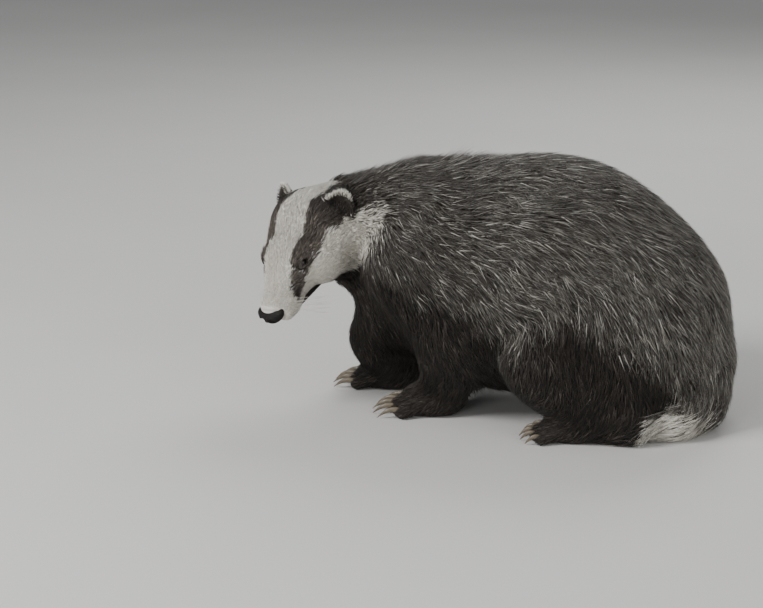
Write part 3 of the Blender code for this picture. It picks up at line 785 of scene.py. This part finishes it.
def tufts(name, stations, sides, ups, width, colours, place_uv, thick=0.42):
    """One mesh of closed three-sided tapered tufts."""
    count = len(width)
    sides = unit(sides)
    ups = unit(ups)
    points = np.empty((count, 7, 3))
    for r in range(2):
        for k in range(3):
            reach = PROFILE[r] * width[:, None] / 2
            points[:, r * 3 + k] = (stations[:, r] + sides[:, r] * np.cos(RING[k]) * reach
                                    + ups[:, r] * np.sin(RING[k]) * reach * thick)
    points[:, 6] = stations[:, 2]
    shade = np.ones((count, 7, 4), np.float32)
    shade[:, :, :3] = colours[:, [0, 0, 0, 1, 1, 1, 2]]
    corners = np.concatenate([np.array(f) for f in FACES])
    sizes = np.array([len(f) for f in FACES])
    loops = (corners[None] + np.arange(count)[:, None] * 7).astype(np.int32)
    starts = np.concatenate([[0], np.cumsum(sizes)[:-1]])
    starts = (starts[None] + np.arange(count)[:, None] * len(corners)).astype(np.int32)
    mesh = bpy.data.meshes.new(name)
    mesh.vertices.add(count * 7)
    mesh.loops.add(loops.size)
    mesh.polygons.add(starts.size)
    mesh.vertices.foreach_set("co", (points + SHIFT).astype(np.float32).ravel())
    mesh.loops.foreach_set("vertex_index", loops.ravel())
    mesh.polygons.foreach_set("loop_start", starts.ravel())
    mesh.update(calc_edges=True)
    mesh.polygons.foreach_set("use_smooth", np.ones(starts.size, bool))
    along = np.array([-0.0014, -0.0014, -0.0014, 0.0002, 0.0002, 0.0002, 0.0015])
    aside = np.array([0, -0.0008, 0.0008, 0, -0.0008, 0.0008, 0])
    patch = place_uv[:, None] + np.stack([along, aside], 1)[None]
    layer = mesh.uv_layers.new(name="OFBake")
    layer.data.foreach_set("uv", patch[:, corners].astype(np.float32).ravel())
    colour = mesh.color_attributes.new("coat", "FLOAT_COLOR", "POINT")
    colour.data.foreach_set("color", shade.ravel())
    obj = bpy.data.objects.new(name, mesh)
    bpy.context.scene.collection.objects.link(obj)
    mesh.materials.append(HAIR)
    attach(obj, "root")
    return obj


def banded(white, dark, rng, pale=0.42):
    """Colours along each tuft: buff root, a dark band and a pale tip where the coat is grizzled."""
    count = len(white)
    pick_one = rng.random(count)[:, None]
    kind = rng.random(count)[:, None]
    tone = rng.uniform(0.80, 1.12, (count, 1))
    white_c = WHITE * tone
    dark_c = DARK * rng.uniform(0.5, 2.2, (count, 1)) * np.where(rng.random((count, 1)) < 0.10, 2.6, 1.0)
    band = DARK * rng.uniform(0.8, 2.4, (count, 1))
    tip = np.where(kind < pale, WHITE * rng.uniform(0.25, 0.95, (count, 1)), GREY * rng.uniform(0.2, 1.0, (count, 1)))
    middle = np.where(kind < pale * 0.35, tip * 0.8, band)
    grizzled = np.stack([BUFF * 0.6 * tone, middle, tip], 1)
    all_white = np.stack([white_c * 0.85, white_c, white_c], 1)
    all_dark = np.stack([dark_c * 1.2, dark_c, dark_c * 1.3], 1)
    is_white = (pick_one < white[:, None])[:, :, None]
    is_dark = (pick_one > 1 - dark[:, None])[:, :, None]
    return np.clip(np.where(is_white, all_white, np.where(is_dark, all_dark, grizzled)), 0, 1)


# Materials

class Sock:
    """A shader socket or number, with sums written as sums."""

    def __init__(self, tree, socket):
        self.tree = tree
        self.socket = socket

    def math(self, kind, *others):
        node = self.tree.nodes.new("ShaderNodeMath")
        node.operation = kind
        for i, v in enumerate((self,) + others):
            if isinstance(v, Sock):
                self.tree.links.new(v.socket, node.inputs[i])
            else:
                node.inputs[i].default_value = v
        return Sock(self.tree, node.outputs[0])

    def __add__(self, o):
        return self.math("ADD", o)

    def __mul__(self, o):
        return self.math("MULTIPLY", o)

    def __sub__(self, o):
        return self.math("SUBTRACT", o)

    def __rsub__(self, o):
        return (self * -1.0) + o

    __radd__ = __add__
    __rmul__ = __mul__

    def clip(self, low, high):
        return self.math("MAXIMUM", low).math("MINIMUM", high)


class Paint:
    """A material's nodes."""

    def __init__(self, name, rough, **fixed):
        self.material = bpy.data.materials.new(name)
        self.material.use_nodes = True
        self.tree = self.material.node_tree
        self.shader = self.tree.nodes["Principled BSDF"]
        self.shader.inputs["Roughness"].default_value = rough
        for key, value in fixed.items():
            self.shader.inputs[key.replace("_", " ")].default_value = value

    def node(self, kind, out, **settings):
        node = self.tree.nodes.new("ShaderNode" + kind)
        for key, value in settings.items():
            if key in node.inputs:
                if isinstance(value, Sock):
                    self.tree.links.new(value.socket, node.inputs[key])
                else:
                    node.inputs[key].default_value = value
            else:
                setattr(node, key, value)
        return Sock(self.tree, node.outputs[out])

    def noise(self, scale, detail=3.0, where=None):
        where = where or self.node("TexCoord", "Object")
        return self.node("TexNoise", "Fac", Vector=where, Scale=scale, Detail=detail)

    def blend(self, share, a, b, kind="MIX"):
        node = self.tree.nodes.new("ShaderNodeMix")
        node.data_type = "RGBA"
        node.blend_type = kind
        for key, value in ((0, share), (6, a), (7, b)):
            if isinstance(value, Sock):
                self.tree.links.new(value.socket, node.inputs[key])
            elif key == 0:
                node.inputs[key].default_value = value
            else:
                node.inputs[key].default_value = tuple(value) + (1,)
        return Sock(self.tree, node.outputs[2])

    def put(self, key, value):
        self.tree.links.new(value.socket, self.shader.inputs[key])

    def bump(self, height, strength, distance):
        self.put("Normal", self.node("Bump", "Normal", Height=height, Strength=strength, Distance=distance))


def hair_material():
    m = Paint("coat", 0.55, Specular_IOR_Level=0.35)
    colour = m.node("Attribute", "Color", attribute_name="coat")
    grain = m.noise(420.0, 2.0) * 0.5 + m.noise(60.0, 2.0) * 0.5
    m.put("Base Color", m.blend((grain - 0.3).clip(0.0, 0.5), colour, (0.62, 0.58, 0.50), "MULTIPLY"))
    m.put("Roughness", grain * 0.3 + 0.42)
    return m.material


def skin_material():
    m = Paint("skin", 0.8, Specular_IOR_Level=0.2)
    colour = m.node("Attribute", "Color", attribute_name="coat")
    fine = m.noise(900.0, 3.0)
    m.put("Base Color", m.blend((fine * 0.6).clip(0.0, 1.0), colour, (0.55, 0.50, 0.45), "MULTIPLY"))
    m.put("Roughness", fine * 0.2 + 0.7)
    m.bump(fine + m.noise(260.0, 2.0), 0.5, 0.0006)
    return m.material


def nose_material():
    m = Paint("nose", 0.5, Specular_IOR_Level=0.18)
    cells = m.node("TexVoronoi", "Distance", Vector=m.node("TexCoord", "Object"), Scale=900.0)
    patch = m.noise(90.0, 3.0)
    m.put("Base Color", m.blend(patch, (0.006, 0.005, 0.005), (0.018, 0.015, 0.014)))
    m.put("Roughness", cells * 0.35 + 0.38)
    m.bump(cells, 0.6, 0.0004)
    return m.material


def eye_material():
    m = Paint("eye", 0.12, Specular_IOR_Level=0.1, Coat_Weight=1.0, Coat_Roughness=0.02, Coat_IOR=1.40)
    patch = m.noise(500.0, 3.0)
    m.put("Base Color", m.blend(patch, (0.002, 0.0015, 0.001), (0.010, 0.006, 0.004)))
    return m.material


def claw_material():
    m = Paint("claw", 0.4, Coat_Weight=0.1)
    streak = m.noise(240.0, 4.0)
    m.put("Base Color", m.blend(streak, (0.045, 0.036, 0.026), (0.24, 0.20, 0.14)))
    m.put("Roughness", streak * 0.35 + 0.25)
    m.bump(m.noise(700.0, 3.0), 0.3, 0.0003)
    return m.material


def whisker_material():
    m = Paint("whisker", 0.4)
    m.put("Base Color", m.blend(m.noise(40.0), (0.50, 0.47, 0.40), (0.75, 0.72, 0.66)))
    return m.material


def floor_material():
    m = Paint("floor", 0.85)
    m.put("Base Color", m.blend(m.noise(3.0, 4.0), (0.62, 0.61, 0.59), (0.68, 0.67, 0.65)))
    return m.material


# The animal

SKIN = make_skin()
P = get_points(SKIN)
TRI, PLACE = triangles_of(SKIN)
CORNERS = P[TRI]
CROSS = np.cross(CORNERS[:, 1] - CORNERS[:, 0], CORNERS[:, 2] - CORNERS[:, 0])
AREA = np.linalg.norm(CROSS, axis=1) / 2
NORMAL = unit(CROSS)
MID = CORNERS.mean(1)
paint_points(SKIN, skin_colour(P))
HAIR = hair_material()
HEAD_D = field(HEAD, MID)
MID_Q = to_head(MID)
WHITE_M, DARK_M, TAIL_M = marks(MID)
IN_HEAD = (HEAD_D < 0.004) & (MID_Q[:, 0] > -0.034)
EAR_D = np.min([np.linalg.norm((MID - local(EAR_AT * (1, s, 1))) @ ear_axes(s) / (EAR_RADII + 0.0006), axis=1)
                for s in (1, -1)], axis=0)
IN_EAR = EAR_D < 1.0
TAIL_D = field(tail_masses(), MID)
PAWS = fore_paw_masses(1) + fore_paw_masses(-1) + hind_paw_masses(1) + hind_paw_masses(-1)
PAW_D = field(PAWS, MID)
UNDER = MID[:, 2] < 0.0012


def groups(count):
    """Sizes of pieces of at most 19000 tufts each. Sizes of pieces that each stay under
    the limit of triangles.
    """
    most = 19000
    parts = int(np.ceil(count / most))
    return [count // parts + (1 if k < count % parts else 0) for k in range(parts)]


def coat(name, slot, weight, count, length, width, rise, lift, spread, share, spacing, seed, pale=0.42):
    """Long coat over the triangles that have weight; each value may be a function of the roots."""
    rng = np.random.default_rng(seed)
    for i, size in enumerate(groups(count)):
        root, n, uv = scatter(weight, size, rng)
        long = length(root) * rng.uniform(0.75, 1.2, size)
        wide = width(root) * rng.uniform(0.7, 1.3, size)
        drift = 0.16 * waves(root, 0.060, 21) + 0.06 * waves(root, 0.018, 22)
        bend = (drift[:, None] * spread + rng.normal(0, 0.17, size)[:, None] * spread
                + rng.normal(0, 0.16, size)[:, None] * np.array([0, 0.5, 1.0]) * spread)
        up = lift(root) * rng.triangular(-0.2, 0.3, 1.0, size)
        stations, sides, ups = march(MASSES, root, long, rise(root) * rng.uniform(0.7, 1.15, size), up, bend)
        stations = clump(stations, root, spacing, share * rng.uniform(0.3, 1.0, size), rng)
        white, dark, tail = marks(stations[:, 1])
        end_white, end_dark, end_tail = marks(stations[:, 2])
        white = np.where(tail > 0.5, white, np.minimum(white, end_white))
        stations[:, :, 2] = np.maximum(stations[:, :, 2], 0.0010)
        share_pale = pale * (0.55 + 0.45 * step(-0.150, -0.020, root[:, 0:1]) + 0.15 * step(0.04, 0.14, root[:, 0:1]))
        tufts(f"coat_{name}_{i + 1}", stations, sides, ups, wide, banded(white, dark, rng, share_pale), uv)


def flat(value):
    return lambda p: np.full(len(p), value)


BODY = ~IN_HEAD & ~IN_EAR & (TAIL_D > 0.004) & (PAW_D > 0.004) & ~UNDER
NECKISH = BODY & ((HEAD_D < 0.050) | (MID[:, 0] < -0.150))
TRUNK = BODY & ~NECKISH


def body_length(p):
    low = step(0.060, 0.020, p[:, 2])
    front = step(-0.060, -0.130, p[:, 0])
    return 0.036 - 0.014 * low - 0.006 * front


def neck_length(p):
    d = field(HEAD, p)
    return 0.014 + 0.022 * step(0.0, 0.045, d)


def neck_rise(p):
    return coat_depth(MASSES, p) * 0.9 + 0.0015


def body_rise(p):
    return coat_depth(MASSES, p) + 0.0005


def crest(p):
    """The coat stands a little on the shoulders and over the rump."""
    q = p - (-0.112, 0, 0.238)
    ruffle = 0.0092 + 0.0056 * np.maximum(waves(p, 0.024, 41), 0)
    return 0.0030 + ruffle * np.exp(-(q * q).sum(1) / 0.030 ** 2)


def nape_lift(p):
    """Two tufts stand on the nape behind the ears."""
    lift = 0.0020
    for at in (-0.205, -0.168):
        q = p - (at, 0, 0.235)
        lift = lift + 0.0100 * np.exp(-(q * q).sum(1) / 0.024 ** 2)
    return lift


W = TRUNK * (0.35 + 0.65 * step(0.012, 0.05, MID[:, 2]))
coat("body", "badger_body_coat", W, TUFT_BODY, body_length, flat(0.00110), body_rise, crest, 1.3, 0.40, 12, 101, 0.5)
coat("neck", "badger_body_coat", NECKISH * 1.0, TUFT_NECK, neck_length, flat(0.0009), neck_rise, nape_lift,
     0.8, 0.4, 14, 102, 0.5)
W = (TAIL_D < 0.006) & ~UNDER & (PAW_D > 0.004)
coat("tail", "badger_tail_coat", W * 1.0, TUFT_TAIL, flat(0.046), flat(0.0015), flat(0.007), flat(0.006),
     1.2, 0.5, 12, 103)
W = (PAW_D < 0.008) & ~UNDER & (MID[:, 2] > 0.003)
coat("paws", "badger_leg_coat", W * 1.0, TUFT_PAW, flat(0.0085), flat(0.0007), flat(0.0012), flat(0.0006),
     0.5, 0.2, 10, 104)

# Head: short tufts, smallest on the muzzle
rng = np.random.default_rng(105)
NEAR_EYE = np.min([np.linalg.norm((MID_Q - EYE_AT * (1, s, 1)) * (1, 1, 1.3), axis=1) for s in (1, -1)], axis=0)
MOUTH_D = to_line(MID, mouth_path())
NOSE_D = np.linalg.norm((MID_Q - (0.1165, 0, -0.0150)) / (0.0105, 0.0165, 0.0112), axis=1)
FREE = IN_HEAD & ~IN_EAR & (NEAR_EYE > 0.0058) & (NOSE_D > 1.05) & (MOUTH_D > 0.0016)
W = FREE * (1 + 0.8 * step(0.03, 0.10, MID_Q[:, 0]))
for i, size in enumerate(groups(TUFT_HEAD)):
    root, n, uv = scatter(W, size, rng)
    white, dark, tail = marks(root)
    q = to_head(root)
    back = step(0.105, 0.0, q[:, 0])
    cheek = step(0.030, -0.010, q[:, 0]) * step(0.0, -0.02, q[:, 2])
    long = (0.0042 + 0.0060 * back + 0.006 * cheek) * rng.uniform(0.8, 1.25, size)
    wide = (0.00042 + 0.00030 * back) * rng.uniform(0.8, 1.25, size)
    bend = (0.16 * waves(root, 0.030, 31) + rng.normal(0, 0.12, size))[:, None] * np.ones(3)
    stations, sides, ups = march(MASSES, root, long, 0.0007 + 0.0009 * back, 0.0005 * rng.random(size), bend, 0.0005)
    shade = banded(white, dark, rng)
    # painted light: dark tufts of the stripe towards the eye and muzzle, above the jaw, are made up to three times
    # lighter, standing in for the light that falls on the front of the face
    painted_light_on_stripe = 1 + 2.0 * step(0.004, 0.036, q[:, 0]) * step(-0.020, -0.006, q[:, 2])
    shade = np.where((white < 0.3)[:, None, None], np.minimum(shade * painted_light_on_stripe[:, None, None], 1), shade)
    tufts(f"coat_head_{i + 1}", stations, sides, ups, wide, shade, uv)

# Ears
root, n, uv = scatter(IN_EAR * 1.0, 3600, rng)
SIDE = np.where(to_head(root)[:, 1] > 0, 1, -1)
axes = np.where((SIDE > 0)[:, None, None], ear_axes(1)[None], ear_axes(-1)[None])
centre = np.where((SIDE > 0)[:, None], local(EAR_AT)[None], local(EAR_AT * (1, -1, 1))[None])
e = np.einsum("ni,nij->nj", root - centre, axes) / EAR_RADII
rim = step(0.72, 0.90, np.hypot(e[:, 1], e[:, 2])) * step(0.25, 0.60, e[:, 2] - 0.35 * e[:, 1] * SIDE)
outwards = unit(axes[:, :, 1] * e[:, 1:2] + axes[:, :, 2] * (e[:, 2:3] + 0.4))
stations, sides, ups = straight(root, n, outwards, 0.0042 + 0.0025 * rim, rng.uniform(0.10, 0.45, len(root)))
shade = banded(rim * 0.96, 1 - rim, rng)
tufts("coat_ears", stations, sides, ups, rng.uniform(0.0004, 0.0007, len(root)), shade, uv)

# Whiskers
rng = np.random.default_rng(106)
roots = []
ways = []
for s in (1, -1):
    for k in range(16):
        at = np.array([rng.uniform(0.086, 0.104), s * 0.020, rng.uniform(-0.026, -0.014)])
        roots.append(local(at))
        ways.append(HEAD_TURN @ np.array([-0.35 + rng.normal(0, 0.15), s * 1.0, -0.30 + rng.normal(0, 0.25)]))
roots = on_skin(MASSES, np.array(roots), -0.001)
ways = unit(np.array(ways))
normal = outward(MASSES, roots)
long = rng.uniform(0.018, 0.034, len(roots))
t = np.array([0, 0.5, 1.0])
stations = roots[:, None] + ways[:, None] * (long[:, None] * t)[..., None]
stations += (HEAD_TURN @ np.array([-0.5, 0, -0.5]))[None, None] * (long[:, None] * t ** 2 * 0.4)[..., None]
side = np.repeat(unit(np.cross(normal, ways))[:, None], 3, 1)
shade = np.tile(WHITE, (len(roots), 3, 1)) * rng.uniform(0.3, 0.9, (len(roots), 1, 1))
wh = tufts("whiskers", stations, side, np.repeat(normal[:, None], 3, 1),
           np.full(len(roots), 0.00034), shade, np.tile([[0.5, 0.5]], (len(roots), 1)), 1.0)
wh.data.materials[0] = whisker_material()

# Skin, eyes, nose and claws
put_points(SKIN, P + SHIFT)
SKIN.data.materials.clear()
SKIN.data.materials.append(skin_material())
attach(SKIN, "root")
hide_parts("head", "neck", "torso", "tail", "ear_left", "ear_right",
            *[f"{a}_{b}_{c}" for a in ("leg", "paw") for b in ("front", "hind") for c in ("left", "right")])

EYE = eye_material()
for name, s in (("left", 1), ("right", -1)):
    eye = ball("eye_ball_" + name, local(EYE_AT * (1, s, 1)), np.full(3, EYE_RADIUS), HEAD_TURN)
    put_points(eye, get_points(eye) + SHIFT)
    smooth_shade(eye)
    eye.data.materials.append(EYE)
    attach(eye, "root")
    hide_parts("eye_" + name)


def make_nose():
    """The nose pad: a soft wedge with two comma-shaped nostrils and a groove between."""
    bpy.ops.mesh.primitive_uv_sphere_add(segments=160, ring_count=110, radius=1.0)
    nose = bpy.context.object
    nose.name = "nose_pad"
    p = get_points(nose)
    r = np.array([0.0106, 0.0150, 0.0096])
    q = p * r
    q[:, 2] += 0.0022 * step(0.0, 1.0, p[:, 2]) * -1 * (p[:, 0] < 2)
    q[:, 1] *= 1 + 0.10 * step(-0.2, 0.6, p[:, 2]) - 0.22 * step(0.1, -0.9, p[:, 2])
    at = np.array([0.1126, 0, -0.0142])
    n = unit(p / r)
    move = np.zeros(len(q))
    for s in (1, -1):
        t = np.linspace(0, 1, 14)
        run = np.stack([0.0125 - 0.0115 * t ** 1.3, s * (0.0040 + 0.0100 * t), 0.0018 - 0.0042 * np.sin(t * pi * 0.85)], 1)
        wide = np.interp(t, [0, 0.25, 1], [1.5, 2.1, 0.7]) * 0.001
        best = np.full(len(q), 9.0)
        for a, w in zip(run, wide):
            best = np.minimum(best, np.linalg.norm((q - a) * (0.5, 1, 1), axis=1) / w)
        move -= 0.0042 * np.exp(-best ** 2.4)
        move += 0.0005 * np.exp(-((best - 1.9) / 0.6) ** 2)
    move -= 0.0009 * np.exp(-(q[:, 1] / 0.0008) ** 2) * step(0.004, -0.004, q[:, 2]) * step(0.0, 0.5, p[:, 0])
    q = q + n * move[:, None]
    put_points(nose, (q + at) @ HEAD_TURN.T + HEAD_AT + SHIFT)
    return nose


NOSE = make_nose()
smooth_shade(NOSE)
NOSE.data.materials.append(nose_material())
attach(NOSE, "root")
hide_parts("nose")


def claws(at, heading, size, toe, length):
    """Five curved claws, each rooted in the end of its toe."""
    m = turn(heading, 0, 0)
    made = []
    for a in (-1, -0.5, 0, 0.5, 1):
        tip = np.array([size[0] * (1.0 - 0.14 * a * a), a * size[1] * 0.50, toe * 0.95])
        ahead = np.array([1, 0.12 * a, 0])
        t = np.linspace(0, 1, 9)
        rise = toe * 0.35 * np.sin(t * pi) - toe * 0.80 * t ** 2
        path = tip + np.outer(t * length, ahead) + np.outer(rise, (0, 0, 1))
        thick = np.interp(t, [0, 0.3, 0.7, 1], [0.40, 0.36, 0.22, 0.03]) * toe
        across = np.repeat((m @ (0, 1, 0))[None], 9, 0)
        claw = sweep("claw", path @ m.T + at, across, thick, thick * 0.72, 12)
        made.append(claw)
    return made


CLAWS = []
for s in (-1, 1):
    at, heading = fore_at(s)
    CLAWS += claws(at, heading, FORE_PAW, FORE_TOE, FORE_CLAW)
    at, heading = hind_at(s)
    CLAWS += claws(at, heading, HIND_PAW, HIND_TOE, HIND_CLAW)
pick(CLAWS)
bpy.ops.object.join()
claw = bpy.context.object
claw.name = "claws"
q = get_points(claw) + SHIFT
q[:, 2] = np.maximum(q[:, 2], 0.0003)
put_points(claw, q)
smooth_shade(claw)
claw.data.materials.append(claw_material())
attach(claw, "root")

# Floor, lights and camera

bpy.ops.mesh.primitive_plane_add(size=8.0, location=(0, 0, 0))
floor = bpy.context.object
floor.name = "floor"
floor.data.materials.append(floor_material())


def area_light(name, where, aim, size, power):
    light = bpy.data.lights.new(name, "AREA")
    light.shape = "DISK"
    light.size = size
    light.energy = power
    obj = bpy.data.objects.new(name, light)
    bpy.context.scene.collection.objects.link(obj)
    obj.location = where
    obj.rotation_euler = (Vector(aim) - Vector(where)).to_track_quat("-Z", "Y").to_euler()
    return obj


area_light("key", (-1.4, -1.5, 1.7), (0, 0, 0.10), 1.0, 54.0)
front = area_light("front", (-0.5, -2.2, 0.6), (-0.1, 0, 0.14), 1.0, 12.0)
front.visible_glossy = False
area_light("fill", (1.8, -1.4, 1.0), (0, 0, 0.10), 1.6, 14.0)
area_light("back", (0.3, 1.8, 1.8), (0, 0, 0.12), 1.4, 24.0)
world = bpy.data.worlds.new("studio")
bpy.context.scene.world = world
world.use_nodes = True
world.node_tree.nodes["Background"].inputs["Color"].default_value = (0.80, 0.81, 0.83, 1)
world.node_tree.nodes["Background"].inputs["Strength"].default_value = 0.35

AZ, EL, FAR = radians(15.0), radians(15.0), 1.90
back = np.array([sin(AZ) * cos(EL), -cos(AZ) * cos(EL), sin(EL)])
data = bpy.data.cameras.new("camera")
data.lens = 36.0 * 1900.0 / 763.0
data.sensor_width = 36.0
camera = bpy.data.objects.new("camera", data)
bpy.context.scene.collection.objects.link(camera)
camera.location = np.array([-0.170, 0.0, 0.0915]) + SHIFT + back * FAR
camera.rotation_euler = Vector(back).to_track_quat("Z", "Y").to_euler()
bpy.context.scene.camera = camera
